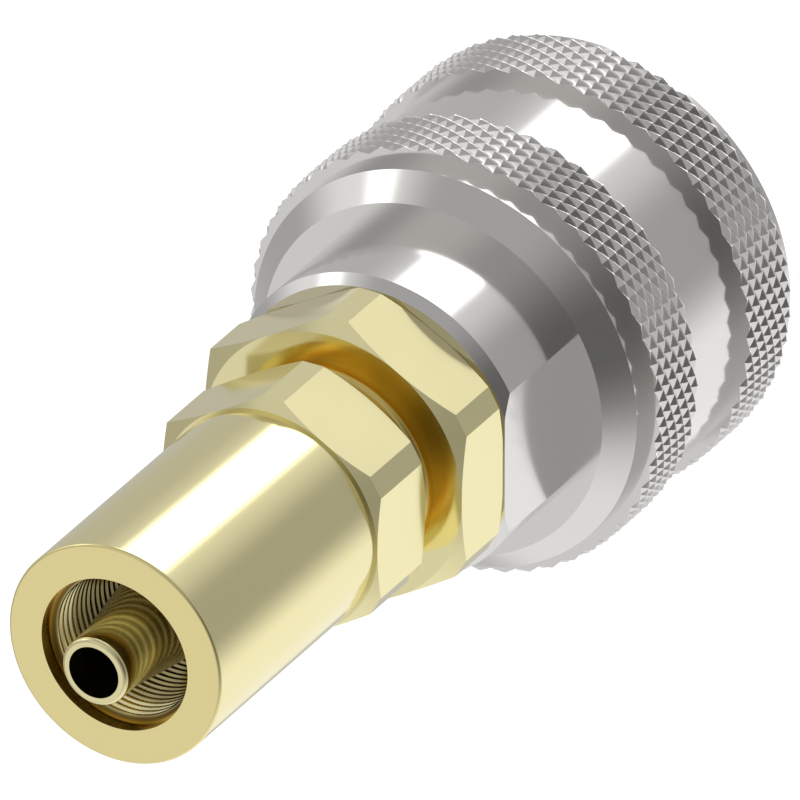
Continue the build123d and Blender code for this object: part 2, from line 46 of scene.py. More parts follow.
# Silver body: flange and flatted neck
FLANGE_Z = 24.01
FLANGE_R = 17.85
FLANGE_CHAMFER = 2.05
NECK_Z = 26.3
NECK_R = 13.7
NECK_END_CHAMFER = 0.8
NECK_HALF_FLATS = 12.1
BACK_Z = 35.7
SEAT_BACK_Z = 20.25
SPIGOT_R = 11.45
VALVE_ROOM_R = 8.6
PORT_Z = 29.65
PORT_R = 6.58
PORT_SEAL_RECESS_R = 8.0
PORT_SEAL_RECESS_DEPTH = 0.8
PASSAGE_R = 5.5
GUIDE_BACK_Z = 28.55

# Release sleeve
SLEEVE_LENGTH = 24.0
SLEEVE_R = 18.0
SLEEVE_END_R = 17.85          # flush with the flange's edge
RIM_R = 18.5
RIM_LENGTH = 1.05
FRONT_BAND_BACK_Z = 7.8
REAR_BAND_Z = 16.4
REAR_BAND_BACK_Z = 22.7
SPRING_ROOM_R = 16.3
LAND_R = 13.95
LAND_Z = 10.6
LAND_BACK_Z = 13.6
GROOVE_R = 15.2
GROOVE_BACK_Z = 18.6

# Diamond knurl
KNURL_TIP_R = 19.25
KNURL_VALLEY_R = 18.72
KNURL_TEETH = 50
KNURL_PITCH = 1.145
KNURL_BULGE = 0.35            # roundness of a tooth's faces
RIDGE_WEAR = 0.08             # rounding of the ridges, as a share of a tooth's half length
RIDGE_FADE = 0.2              # share of a tooth's height, at its foot, where that rounding runs out
TOOTH_ROWS = (0, 0.03, 0.07, 0.12, 0.25, 0.6, 1)
TOOTH_COLUMNS = (-1, -0.5, 0, 0.5, 1)
KNURL_SIDE_EASE = 0.2         # width of the eased edge at the sides of a band
KNURL_SIDE_SHARE = 0.8        # of a tooth's height left at the sides of a band

# Brass nipple
NIPPLE_APOTHEM = 12.0
NIPPLE_HEX_BACK_Z = 42.5
NIPPLE_NECK_R = 8.6
NIPPLE_NECK_FILLET = 0.6
NIPPLE_SCREW_R = 8.0
PORT_SCREW_R = 6.5
NIPPLE_Z = 29.85
STEM_R = 4.6
STEM_TAPER_Z = 66.55
STEM_TIP_Z = 77.75
STEM_END_Z = 80.7
STEM_TIP_R = 3.0
STEM_TIP_ROUND = 0.4
STEM_BORE_R = 2.285
STEM_ENTRY_R = 4.2
STEM_ENTRY_DEPTH = 4.0
PORT_SCREW_CHAMFER = 0.2
SEAT_GAP = 0.02               # keeps the faces of two seated pieces apart

# Brass socket
SOCKET_Z = 45.0
SOCKET_APOTHEM = 10.03
SOCKET_R = 9.8
SOCKET_SCREW_END_Z = 51.0
SOCKET_HEX_BACK_Z = 52.7
SOCKET_END_Z = 77.4
SOCKET_END_ROUND = 0.27
SOCKET_BORE_R = 6.6
SOCKET_MOUTH_R = 6.75
SOCKET_MOUTH_DEPTH = 1.45
RIB_PITCH = 0.73
RIB_CREST_R = 6.2
SOCKET_SCREW_GAP = 0.05       # round the nipple's screw

# Outline of one rib in the hose mouth: share of its pitch, share of its height
RIB_PROFILE = ((0, 0), (0.12, 0.35), (0.3, 0.85), (0.42, 1), (0.58, 1), (0.7, 0.85), (0.88, 0.35), (1, 0))

# Corners of both hexagons: all are cut but the one at 150 degrees
SIDE_DEG = 60                 # angle of one side, seen from the axis
HALF_SIDE_DEG = 30
HEX_CORNER_CUT = 0.58
HEX_CHAMFER_DEG = 30
FLAT_CORNERS_DEG = (30, 90, 210, 270, 330)
CORNER_REACH_DEG = 20         # a corner's cut ends within this angle of it

# Camera: nearly parallel view along the photograph's line of sight
CAMERA_BACK = (0.43107, 0.49758, 0.75273)
CAMERA_RIGHT = (0.86734, 0.00153, -0.49771)
CAMERA_TARGET = (-0.474, 0.159, 30.766)
CAMERA_DISTANCE = 3035.6
CAMERA_LENS = 1690
CAMERA_CLIP = (0.1, 20)

# Floor
FLOOR_HALF = 2.0              # metres
FLOOR_DROP = 0.02             # below the mouth plane
FLOOR_PAINT = 0.8
FLOOR_GLOW = 0.7


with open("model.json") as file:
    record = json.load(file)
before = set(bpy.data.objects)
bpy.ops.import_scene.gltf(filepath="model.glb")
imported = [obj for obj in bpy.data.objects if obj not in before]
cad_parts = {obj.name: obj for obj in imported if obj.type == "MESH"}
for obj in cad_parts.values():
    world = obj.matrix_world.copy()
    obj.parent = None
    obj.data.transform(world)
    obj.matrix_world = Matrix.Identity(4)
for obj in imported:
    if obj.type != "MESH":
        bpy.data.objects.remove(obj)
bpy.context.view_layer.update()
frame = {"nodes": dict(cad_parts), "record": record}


def angles_with(corners_deg=()):
    """Regular angles round the axis, with the given corner angles put in."""
    steps = {round(index * 360 / TURN_STEPS, 6) for index in range(TURN_STEPS)}
    steps |= {round(corner % 360, 6) for corner in corners_deg}
    return sorted(steps)


def value_at(value, angle_deg):
    """A ring's radius or height: a plain number, or a function of the angle."""
    return value(angle_deg) if callable(value) else value


def ring_mesh(name, rings, angles, closed=True):
    """Mesh through rings of (radius, height); closed joins the last ring to the first."""
    vertices = []
    for radius, height in rings:
        for angle in angles:
            r = value_at(radius, angle) * MM
            turn = math.radians(angle)
            vertices.append((r * math.cos(turn), r * math.sin(turn), value_at(height, angle) * MM))
    count = len(angles)
    ring_count = len(rings)
    faces = []
    for ring in range(ring_count if closed else ring_count - 1):
        low = ring * count
        high = (ring + 1) % ring_count * count
        for index in range(count):
            after = (index + 1) % count
            faces.append((low + index, low + after, high + after, high + index))
    mesh = bpy.data.meshes.new(name)
    mesh.from_pydata(vertices, [], faces)
    return mesh


def softened(points, keep):
    """Outline of (radius, height) points with each corner rounded a little, but not those in keep."""
    result = []
    count = len(points)
    for index, point in enumerate(points):
        here = Vector(point)
        before = Vector(points[index - 1]) - here
        after = Vector(points[(index + 1) % count]) - here
        if index in keep:
            result.append(point)
            continue
        size = min(SOFT_EDGE, before.length * SOFT_SHARE, after.length * SOFT_SHARE)
        start = here + before.normalized() * size
        end = here + after.normalized() * size
        for step in (0.0, 0.5, 1.0):
            blend = start.lerp(here, step).lerp(here.lerp(end, step), step)
            result.append((blend.x, blend.y))
    return result


def finished(mesh, name, body, nodes, slot_name):
    """Object from a mesh, shaded smooth between its sharp edges, riding on its body."""
    work = bmesh.new()
    work.from_mesh(mesh)
    bmesh.ops.remove_doubles(work, verts=work.verts, dist=WELD_M)
    bmesh.ops.dissolve_degenerate(work, edges=work.edges, dist=WELD_M)
    bmesh.ops.recalc_face_normals(work, faces=work.faces)
    work.to_mesh(mesh)
    work.free()
    piece = bpy.data.objects.new(name, mesh)
    bpy.context.scene.collection.objects.link(piece)
    mesh.materials.clear()
    mesh.materials.append(FINISHES[slot_name])
    mesh.shade_smooth()
    mesh.set_sharp_from_angle(angle=math.radians(SHARP_DEG))
    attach(piece, body)
    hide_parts(*nodes)
    return piece


def joined(*meshes):
    """One mesh from several, without welding them."""
    work = bmesh.new()
    for mesh in meshes:
        work.from_mesh(mesh)
    result = bpy.data.meshes.new("joined")
    work.to_mesh(result)
    work.free()
    return result


# Materials

# Painted shade and painted amber bounce light in the brass's crevices, and a deeper yellow tint painted on
# its end face: radius from and to, height from and to in millimetres, colour
BRASS_TINT_AND_PAINTED_SHADE = (
    # deeper yellow tint painted on the mouth's end face
    (6.6, 10.0, 77.25, 77.8, (0.92, 0.80, 0.38)),
    # painted amber shade and bounce light in the groove between the hexagons
    (7.0, 9.4, 42.3, 45.2, (0.82, 0.63, 0.22)),
    # painted shade and reflected bore colour on the hose stem inside the bore
    (3.6, 5.0, 50.0, 76.6, (0.80, 0.64, 0.28)),
    # painted dark olive shade on the ribs deep in the hose mouth
    (5.0, 7.0, 50.0, 73.0, (0.45, 0.38, 0.18)),
    # painted amber bounce light on the counterbore wall
    (6.45, 6.9, 75.5, 77.2, (0.92, 0.68, 0.18)),
    # painted near-black shadow at the foot of the counterbore
    (6.25, 6.72, 75.45, 76.15, (0.16, 0.10, 0.02)),
)
# Soft edge of each painted area, in millimetres
TINT_AND_SHADE_FADE = 0.2

# Turning marks left by machining, kept faint
MARKS_STRENGTH = 0.05
MARKS_DEPTH = 0.01
MARKS_SCALE = 5200

# Slow mottle of every surface, and the grain of rubber and plastic
MOTTLE_SCALE = 160
GRAIN_SCALE = 3000
GRAIN_STRENGTH = 0.2
GRAIN_DEPTH = 0.02
MATT_SHADES = (0.85, 1.15)
MATT_POLISH = 0.08

# Light panels below the horizon: azimuth, half width and fade in degrees, level
LOW_BASE = 0.53
LOW_PANELS = (
    (8, 22, 45, 0.41),
    (-70, 30, 42, 1.0),
    (-111, 2, 11, 0.50),
    (-124, 3, 10, 0.76),
    (92, 18, 38, 0.77),
    (97, 17, 9, 2.6),
)

# Areas above the horizon: azimuth, elevation, half angle and fade in degrees, level
HIGH_BASE = 0.45
HIGH_AREAS = (
    (-80, 0, 14, 52, 0.92),
    (150, 9, 10, 26, 0.92),
    (146, 19, 4, 5, 1.7),
    (10, 32, 10, 42, 0.14),
    (128, 57, 10, 16, 0.66),
    (-131, 49, 14, 20, 0.76),
)

# Bright patch straight below
NADIR_AREA = (0, -90, 24, 13, 2.0)

# Heights of a direction between which the panels give way to the areas above
HORIZON_BLEND = (-0.55, -0.15)


def node(tree, kind, **settings):
    """New node with its settings."""
    made = tree.nodes.new(kind)
    for key, value in settings.items():
        setattr(made, key, value)
    return made


def maths(tree, operation, first, second=None, third=None):
    """Math node on sockets or numbers, returning its output."""
    made = node(tree, "ShaderNodeMath", operation=operation)
    for index, value in enumerate((first, second, third)):
        if value is None:
            continue
        if isinstance(value, (int, float)):
            made.inputs[index].default_value = value
        else:
            tree.links.new(value, made.inputs[index])
    return made.outputs[0]


def direction(azimuth_deg, elevation_deg):
    """Unit vector of a direction in the studio."""
    azimuth = math.radians(azimuth_deg)
    elevation = math.radians(elevation_deg)
    level = math.cos(elevation)
    return Vector((level * math.cos(azimuth), level * math.sin(azimuth), math.sin(elevation)))


def over(tree, below, unit, towards, half_deg, fade_deg, level):
    """Light level with one soft-edged area laid over what is below it."""
    facing = node(tree, "ShaderNodeVectorMath", operation="DOT_PRODUCT")
    tree.links.new(unit, facing.inputs[0])
    facing.inputs[1].default_value = towards
    away = maths(tree, "ARCCOSINE", facing.outputs[1])
    share = node(tree, "ShaderNodeMapRange", interpolation_type="SMOOTHSTEP")
    tree.links.new(away, share.inputs[0])
    share.inputs[1].default_value = math.radians(half_deg)
    share.inputs[2].default_value = math.radians(half_deg + fade_deg)
    share.inputs[3].default_value = 1
    share.inputs[4].default_value = 0
    keep = maths(tree, "SUBTRACT", 1.0, share.outputs[0])
    kept = maths(tree, "MULTIPLY", keep, below)
    return maths(tree, "MULTIPLY_ADD", share.outputs[0], level, kept)


def studio_group():
    """Studio light by direction: upright panels below the horizon and soft areas above it."""
    tree = bpy.data.node_groups.new("studio_light", "ShaderNodeTree")
    tree.interface.new_socket("Direction", in_out="INPUT", socket_type="NodeSocketVector")
    tree.interface.new_socket("Color", in_out="OUTPUT", socket_type="NodeSocketColor")
    source = tree.nodes.new("NodeGroupInput")
    target = tree.nodes.new("NodeGroupOutput")
    unit = node(tree, "ShaderNodeVectorMath", operation="NORMALIZE")
    tree.links.new(source.outputs[0], unit.inputs[0])
    parts = node(tree, "ShaderNodeSeparateXYZ")
    tree.links.new(unit.outputs[0], parts.inputs[0])
    level_direction = node(tree, "ShaderNodeVectorMath", operation="MULTIPLY")
    tree.links.new(unit.outputs[0], level_direction.inputs[0])
    level_direction.inputs[1].default_value = (1, 1, 0)
    level_unit = node(tree, "ShaderNodeVectorMath", operation="NORMALIZE")
    tree.links.new(level_direction.outputs[0], level_unit.inputs[0])
    low = LOW_BASE
    for azimuth, half_deg, fade_deg, level in LOW_PANELS:
        low = over(tree, low, level_unit.outputs[0], direction(azimuth, 0), half_deg, fade_deg, level)
    azimuth, elevation, *rest = NADIR_AREA
    low = over(tree, low, unit.outputs[0], direction(azimuth, elevation), *rest)
    high = HIGH_BASE
    for azimuth, elevation, *rest in HIGH_AREAS:
        high = over(tree, high, unit.outputs[0], direction(azimuth, elevation), *rest)
    height = node(tree, "ShaderNodeMapRange", interpolation_type="SMOOTHSTEP")
    tree.links.new(parts.outputs[2], height.inputs[0])
    height.inputs[1].default_value = HORIZON_BLEND[0]
    height.inputs[2].default_value = HORIZON_BLEND[1]
    both = node(tree, "ShaderNodeMix", data_type="FLOAT")
    tree.links.new(height.outputs[0], both.inputs[0])
    tree.links.new(low, both.inputs[2])
    tree.links.new(high, both.inputs[3])
    tree.links.new(both.outputs[0], target.inputs[0])
    return tree


def axis_place(tree):
    """Sockets of a point on a piece: its place, its distance from the axis and its height."""
    place = node(tree, "ShaderNodeTexCoord").outputs["Object"]
    parts = node(tree, "ShaderNodeSeparateXYZ")
    tree.links.new(place, parts.inputs[0])
    across = maths(tree, "MULTIPLY", parts.outputs[0], parts.outputs[0])
    squares = maths(tree, "MULTIPLY_ADD", parts.outputs[1], parts.outputs[1], across)
    return place, maths(tree, "SQRT", squares), parts.outputs[2]


def noise(tree, place, scale, detail=2):
    """Level of a noise pattern at a place, as a socket."""
    made = node(tree, "ShaderNodeTexNoise")
    made.inputs["Scale"].default_value = scale
    made.inputs["Detail"].default_value = detail
    tree.links.new(place, made.inputs["Vector"])
    return made.outputs["Fac"]


def wear_group():
    """Fine unevenness of a surface: a slow mottle, and thin turning marks round the axis."""
    tree = bpy.data.node_groups.new("machined_wear", "ShaderNodeTree")
    tree.interface.new_socket("Mottle", in_out="OUTPUT", socket_type="NodeSocketFloat")
    tree.interface.new_socket("Marks", in_out="OUTPUT", socket_type="NodeSocketFloat")
    target = tree.nodes.new("NodeGroupOutput")
    place, radius, height = axis_place(tree)
    tree.links.new(noise(tree, place, MOTTLE_SCALE, 3), target.inputs[0])
    turned = node(tree, "ShaderNodeCombineXYZ")
    tree.links.new(radius, turned.inputs[0])
    tree.links.new(height, turned.inputs[1])
    tree.links.new(noise(tree, turned.outputs[0], MARKS_SCALE, 1), target.inputs[1])
    return tree


WEAR = wear_group()
STUDIO = studio_group()


def worn_material(name, rough_low, rough_high):
    """New material with a slightly uneven polish; also its tree, shader and wear node."""
    material = bpy.data.materials.new(name)
    material.use_nodes = True
    tree = material.node_tree
    shader = tree.nodes["Principled BSDF"]
    wear = node(tree, "ShaderNodeGroup", node_tree=WEAR)
    polish = node(tree, "ShaderNodeMapRange")
    tree.links.new(wear.outputs[0], polish.inputs[0])
    polish.inputs[3].default_value = rough_low
    polish.inputs[4].default_value = rough_high
    tree.links.new(polish.outputs[0], shader.inputs["Roughness"])
    return material, tree, shader, wear


def add_relief(tree, shader, height, strength, depth):
    """Fine relief on a whole surface."""
    relief = node(tree, "ShaderNodeBump")
    relief.inputs["Strength"].default_value = strength
    relief.inputs["Distance"].default_value = depth * MM
    tree.links.new(height, relief.inputs["Height"])
    tree.links.new(relief.outputs[0], shader.inputs["Normal"])


def metal(name, colour, rough_low, rough_high):
    """Bright machined metal."""
    material, tree, shader, wear = worn_material(name, rough_low, rough_high)
    shader.inputs["Metallic"].default_value = 1
    shader.inputs["Base Color"].default_value = (*colour, 1)
    add_relief(tree, shader, wear.outputs[1], MARKS_STRENGTH, MARKS_DEPTH)
    return material


def brass_with_painted_shade(name, colour, rough_low, rough_high):
    """Brass with painted shade and painted amber bounce light in the groove between the hexagons and in the
    hose mouth, and a deeper yellow tint painted on the mouth's end face.
    """
    material = metal(name, colour, rough_low, rough_high)
    tree = material.node_tree
    _, radius, height = axis_place(tree)
    shown = None
    for low_r, high_r, low_z, high_z, painted_colour in BRASS_TINT_AND_PAINTED_SHADE:
        inside = 1.0
        edges = ((radius, low_r, 1), (radius, high_r, -1), (height, low_z, 1), (height, high_z, -1))
        for value, edge, side in edges:
            step = node(tree, "ShaderNodeMapRange", interpolation_type="SMOOTHSTEP")
            tree.links.new(value, step.inputs[0])
            step.inputs[1].default_value = (edge - side * TINT_AND_SHADE_FADE) * MM
            step.inputs[2].default_value = (edge + side * TINT_AND_SHADE_FADE) * MM
            inside = maths(tree, "MULTIPLY", step.outputs[0], inside)
        # Each area's painted colour is laid over the brass
        shade = node(tree, "ShaderNodeMix", data_type="RGBA")
        tree.links.new(inside, shade.inputs[0])
        shade.inputs[6].default_value = (*colour, 1)
        if shown is not None:
            tree.links.new(shown, shade.inputs[6])
        shade.inputs[7].default_value = (*painted_colour, 1)
        shown = shade.outputs[2]
    tree.links.new(shown, tree.nodes["Principled BSDF"].inputs["Base Color"])
    return material


def matt(name, colour, roughness):
    """Moulded rubber or plastic, with a slight mottle in colour and polish and a fine grain."""
    material, tree, shader, wear = worn_material(name, roughness - MATT_POLISH, roughness + MATT_POLISH)
    shade = node(tree, "ShaderNodeMix", data_type="RGBA")
    tree.links.new(wear.outputs[0], shade.inputs[0])
    for index, share in zip((6, 7), MATT_SHADES):
        shade.inputs[index].default_value = (*(channel * share for channel in colour), 1)
    tree.links.new(shade.outputs[2], shader.inputs["Base Color"])
    place = node(tree, "ShaderNodeTexCoord").outputs["Object"]
    add_relief(tree, shader, noise(tree, place, GRAIN_SCALE), GRAIN_STRENGTH, GRAIN_DEPTH)
    return material


FINISHES = {
    "nickel": metal("nickel", (0.76, 0.745, 0.725), 0.11, 0.16),
    # The brass carries painted shade and bounce light in its crevices and a painted tint on its end face
    "brass": brass_with_painted_shade("brass", (0.89, 0.81, 0.46), 0.11, 0.16),
    "steel": metal("steel", (0.60, 0.60, 0.60), 0.15, 0.22),
    "spring_steel": metal("spring_steel", (0.50, 0.50, 0.51), 0.2, 0.3),
    "seal_rubber": matt("seal_rubber", (0.02, 0.02, 0.02), 0.55),
    "bearing_plastic": matt("bearing_plastic", (0.75, 0.74, 0.70), 0.45),
}


# Hexagon outlines

def hexagon_radius(apothem):
    """Radius of a hexagon with cut corners, as a function of the angle."""
    corner_r = apothem / math.cos(math.radians(HALF_SIDE_DEG))
    corner_flat = corner_r - HEX_CORNER_CUT

    def radius(angle):
        side = (angle + HALF_SIDE_DEG) % SIDE_DEG - HALF_SIDE_DEG
        r = apothem / math.cos(math.radians(side))
        for corner in FLAT_CORNERS_DEG:
            away = (angle - corner + 180) % 360 - 180
            if abs(away) < CORNER_REACH_DEG:
                r = min(r, corner_flat / math.cos(math.radians(away)))
        return r

    return radius


def hexagon_corners(apothem):
    """Angles at which a hexagon's outline bends."""
    corner_r = apothem / math.cos(math.radians(HALF_SIDE_DEG))
    corner_flat = corner_r - HEX_CORNER_CUT
    half_flat = 2 * apothem - 2 * corner_flat * math.cos(math.radians(HALF_SIDE_DEG))
    half_angle = math.degrees(math.atan2(half_flat, corner_flat))
    corners = []
    for corner in range(HALF_SIDE_DEG, 360 + HALF_SIDE_DEG, SIDE_DEG):
        corners += [corner - half_angle, corner, corner + half_angle]
    return corners


def chamfer_height(radius_of, start_r, end_z, slope):
    """Height at which the side meets the end cone, as a function of the angle."""
    def height(angle):
        return end_z - slope * max(0.0, radius_of(angle) - start_r)

    return height


def hexagon_rings(apothem, low_z, high_z):
    """Rings of a hexagon's side, with the cone at each end."""
    radius_of = hexagon_radius(apothem)
    slope = math.tan(math.radians(HEX_CHAMFER_DEG))
    return [
        (apothem, low_z),
        (radius_of, chamfer_height(radius_of, apothem, low_z, -slope)),
        (radius_of, chamfer_height(radius_of, apothem, high_z, slope)),
        (apothem, high_z),
    ]


# Rear body: spigot, round flange and neck with two wrench flats.
# The neck's radius is cut back by the flats, and its end cone only shows on the round sides.

def neck_radius(angle):
    """Radius of the neck, whose two flats are square to X."""
    across = abs(math.cos(math.radians(angle)))
    return min(NECK_R, NECK_HALF_FLATS / max(across, 0.5))


flat_corner = math.degrees(math.acos(NECK_HALF_FLATS / NECK_R))
neck_corners = [flat_corner, -flat_corner, 180 - flat_corner, 180 + flat_corner]
neck_end_r = NECK_R - NECK_END_CHAMFER


def neck_end(angle):
    """Radius of the neck's end face."""
    return min(neck_radius(angle), neck_end_r)


rear_body_rings = [
    (VALVE_ROOM_R, SEAT_BACK_Z),
    (SPIGOT_R, SEAT_BACK_Z),
    (SPIGOT_R, FLANGE_Z),
    (FLANGE_R, FLANGE_Z),
    (FLANGE_R, NECK_Z - FLANGE_CHAMFER),
    (FLANGE_R - FLANGE_CHAMFER, NECK_Z),
    (neck_radius, NECK_Z),
    (neck_radius, chamfer_height(neck_radius, neck_end_r, BACK_Z, 1.0)),
    (neck_end, BACK_Z),
    (PORT_SEAL_RECESS_R, BACK_Z),
    (PORT_SEAL_RECESS_R, BACK_Z - PORT_SEAL_RECESS_DEPTH),
    (PORT_R, BACK_Z - PORT_SEAL_RECESS_DEPTH),
    (PORT_R, PORT_Z),
    (PASSAGE_R, PORT_Z),
    (PASSAGE_R, GUIDE_BACK_Z),
    (VALVE_ROOM_R, GUIDE_BACK_Z),
]
rear_body_mesh = ring_mesh("rear_body_look", rear_body_rings, angles_with(neck_corners))
finished(rear_body_mesh, "rear_body_look", "body", ["rear_body"], "nickel")


# Hose nipple: port screw, large hexagon, short neck with a fillet, socket screw and hose stem.
# One closed outline goes round the outside and back through the bore.

def end_round(outer_r, end_z, size):
    """Points of the rounding between a side and the end face behind it."""
    return [
        (outer_r - size * (1 - math.cos(turn)), end_z - size * (1 - math.sin(turn)))
        for turn in ROUND_TURNS
    ]


nipple_fillet = [
    (
        NIPPLE_NECK_R + NIPPLE_NECK_FILLET * (1 - math.sin(turn)),
        NIPPLE_HEX_BACK_Z + NIPPLE_NECK_FILLET * (1 - math.cos(turn)),
    )
    for turn in ROUND_TURNS
]
nipple_rings = [
    (STEM_ENTRY_R, NIPPLE_Z),
    (PORT_SCREW_R - PORT_SCREW_CHAMFER, NIPPLE_Z),
    (PORT_SCREW_R, NIPPLE_Z + PORT_SCREW_CHAMFER),
    (PORT_SCREW_R, BACK_Z + SEAT_GAP),
    *hexagon_rings(NIPPLE_APOTHEM, BACK_Z + SEAT_GAP, NIPPLE_HEX_BACK_Z),
    *nipple_fillet,
    (NIPPLE_NECK_R, SOCKET_Z - SEAT_GAP),
    (NIPPLE_SCREW_R, SOCKET_Z - SEAT_GAP),
    (NIPPLE_SCREW_R, SOCKET_SCREW_END_Z),
    (STEM_R, SOCKET_SCREW_END_Z),
    (STEM_R, STEM_TAPER_Z),
    (STEM_TIP_R, STEM_TIP_Z),
    *end_round(STEM_TIP_R, STEM_END_Z, STEM_TIP_ROUND),
    (STEM_BORE_R, STEM_END_Z),
    (STEM_BORE_R, NIPPLE_Z + STEM_ENTRY_DEPTH),
    (STEM_ENTRY_R, NIPPLE_Z + STEM_ENTRY_DEPTH),
]
nipple_mesh = ring_mesh("hose_nipple_look", nipple_rings, angles_with(hexagon_corners(NIPPLE_APOTHEM)))
finished(nipple_mesh, "hose_nipple_look", "body", ["hose_nipple"], "brass")


# Hose socket: small hexagon, plain barrel with a thin end rounding, counterbored mouth.
# The bore's gripping ribs are repeated by geometry nodes and joined to it.

def geometry_group(name, values):
    """New geometry node group that takes a mesh and the named values; also its input node."""
    tree = bpy.data.node_groups.new(name, "GeometryNodeTree")
    tree.is_modifier = True
    tree.interface.new_socket("Geometry", in_out="INPUT", socket_type="NodeSocketGeometry")
    for value, kind in values.items():
        tree.interface.new_socket(value, in_out="INPUT", socket_type=kind)
    tree.interface.new_socket("Geometry", in_out="OUTPUT", socket_type="NodeSocketGeometry")
    return tree, tree.nodes.new("NodeGroupInput")


def end_group(tree, repeats, material):
    """Last nodes of a group: its repeats are made real, welded and given their material."""
    real = node(tree, "GeometryNodeRealizeInstances")
    tree.links.new(repeats, real.inputs[0])
    weld = node(tree, "GeometryNodeMergeByDistance")
    weld.inputs["Distance"].default_value = NODE_WELD_M
    tree.links.new(real.outputs[0], weld.inputs[0])
    finish = node(tree, "GeometryNodeSetMaterial")
    finish.inputs["Material"].default_value = material
    tree.links.new(weld.outputs[0], finish.inputs[0])
    outputs = tree.nodes.new("NodeGroupOutput")
    tree.links.new(finish.outputs[0], outputs.inputs[0])


def applied(mesh, tree, values):
    """Mesh that a node group makes of this one with the given values."""
    source = bpy.data.objects.new(mesh.name, mesh)
    bpy.context.scene.collection.objects.link(source)
    modifier = source.modifiers.new(tree.name, "NODES")
    modifier.node_group = tree
    for item in tree.interface.items_tree:
        if item.in_out == "INPUT" and item.name in values:
            modifier[item.identifier] = values[item.name]
    bpy.context.view_layer.update()
    graph = bpy.context.evaluated_depsgraph_get()
    result = bpy.data.meshes.new_from_object(source.evaluated_get(graph))
    bpy.data.objects.remove(source)
    return result


rib_tree, rib_inputs = geometry_group("bore_ribs", {"Count": "NodeSocketInt"})
rib_line = node(rib_tree, "GeometryNodeMeshLine")
rib_line.inputs["Offset"].default_value = (0, 0, RIB_PITCH * MM)
rib_tree.links.new(rib_inputs.outputs["Count"], rib_line.inputs["Count"])
ribs = node(rib_tree, "GeometryNodeInstanceOnPoints")
rib_tree.links.new(rib_line.outputs[0], ribs.inputs["Points"])
rib_tree.links.new(rib_inputs.outputs["Geometry"], ribs.inputs["Instance"])
end_group(rib_tree, ribs.outputs[0], FINISHES["brass"])

socket_bore_z = SOCKET_END_Z - SOCKET_MOUTH_DEPTH
rib_count = int((socket_bore_z - SOCKET_SCREW_END_Z) / RIB_PITCH)
rib_start_z = socket_bore_z - rib_count * RIB_PITCH
rib_rings = [
    (SOCKET_BORE_R - (SOCKET_BORE_R - RIB_CREST_R) * height, rib_start_z + RIB_PITCH * share)
    for share, height in RIB_PROFILE
]
rib_mesh = applied(ring_mesh("rib", rib_rings, angles_with(), closed=False), rib_tree, {"Count": rib_count})
socket_rings = [
    (SOCKET_BORE_R, SOCKET_SCREW_END_Z),
    (NIPPLE_SCREW_R + SOCKET_SCREW_GAP, SOCKET_SCREW_END_Z),
    (NIPPLE_SCREW_R + SOCKET_SCREW_GAP, SOCKET_Z),
    *hexagon_rings(SOCKET_APOTHEM, SOCKET_Z, SOCKET_HEX_BACK_Z),
    (SOCKET_R, SOCKET_HEX_BACK_Z),
    *end_round(SOCKET_R, SOCKET_END_Z, SOCKET_END_ROUND),
    (SOCKET_MOUTH_R, SOCKET_END_Z),
    (SOCKET_MOUTH_R, socket_bore_z),
    (SOCKET_BORE_R, socket_bore_z),
]
socket_mesh = ring_mesh("hose_socket_body", socket_rings, angles_with(hexagon_corners(SOCKET_APOTHEM)))
finished(joined(socket_mesh, rib_mesh), "hose_socket_look", "body", ["hose_socket"], "brass")


# Release sleeve: turned body with lands inside, and two bands of diamond knurl.
# Geometry nodes put one pointed tooth on every other point of a lattice round the sleeve.

def tooth_rise(along, around):
    """Height of a tooth over the valleys, from 0 to 1, at shares of its half length and half width.

    The faces bulge a little, and the ridge round the sleeve is worn to a small rounding.
    """
    slope = max(0.0, 1 - abs(along) - abs(around))
    worn = math.hypot(along, RIDGE_WEAR) - abs(along)
    return slope + KNURL_BULGE * slope * (1 - slope) - worn * min(1.0, slope / RIDGE_FADE)


def knurl_tooth():
    """One pointed tooth on a diamond, at angle zero and height zero."""
    vertices = []
    faces = []
    rows = [-share for share in reversed(TOOTH_ROWS[1:])] + list(TOOTH_ROWS)
    for along in rows:
        for share in TOOTH_COLUMNS:
            around = share * (1 - abs(along))
            turn = around * math.pi / KNURL_TEETH
            r = KNURL_VALLEY_R + (KNURL_TIP_R - KNURL_VALLEY_R) * tooth_rise(along, around)
            z = along * KNURL_PITCH / 2
            vertices.append((r * math.cos(turn) * MM, r * math.sin(turn) * MM, z * MM))
    width = len(TOOTH_COLUMNS)
    for row in range(len(rows) - 1):
        for column in range(width - 1):
            low = row * width + column
            faces.append((low, low + 1, low + width + 1, low + width))
    mesh = bpy.data.meshes.new("tooth")
    mesh.from_pydata(vertices, [], faces)
    work = bmesh.new()
    work.from_mesh(mesh)
    bmesh.ops.remove_doubles(work, verts=work.verts, dist=WELD_M)
    bmesh.ops.triangulate(work, faces=work.faces)
    work.to_mesh(mesh)
    work.free()
    return mesh


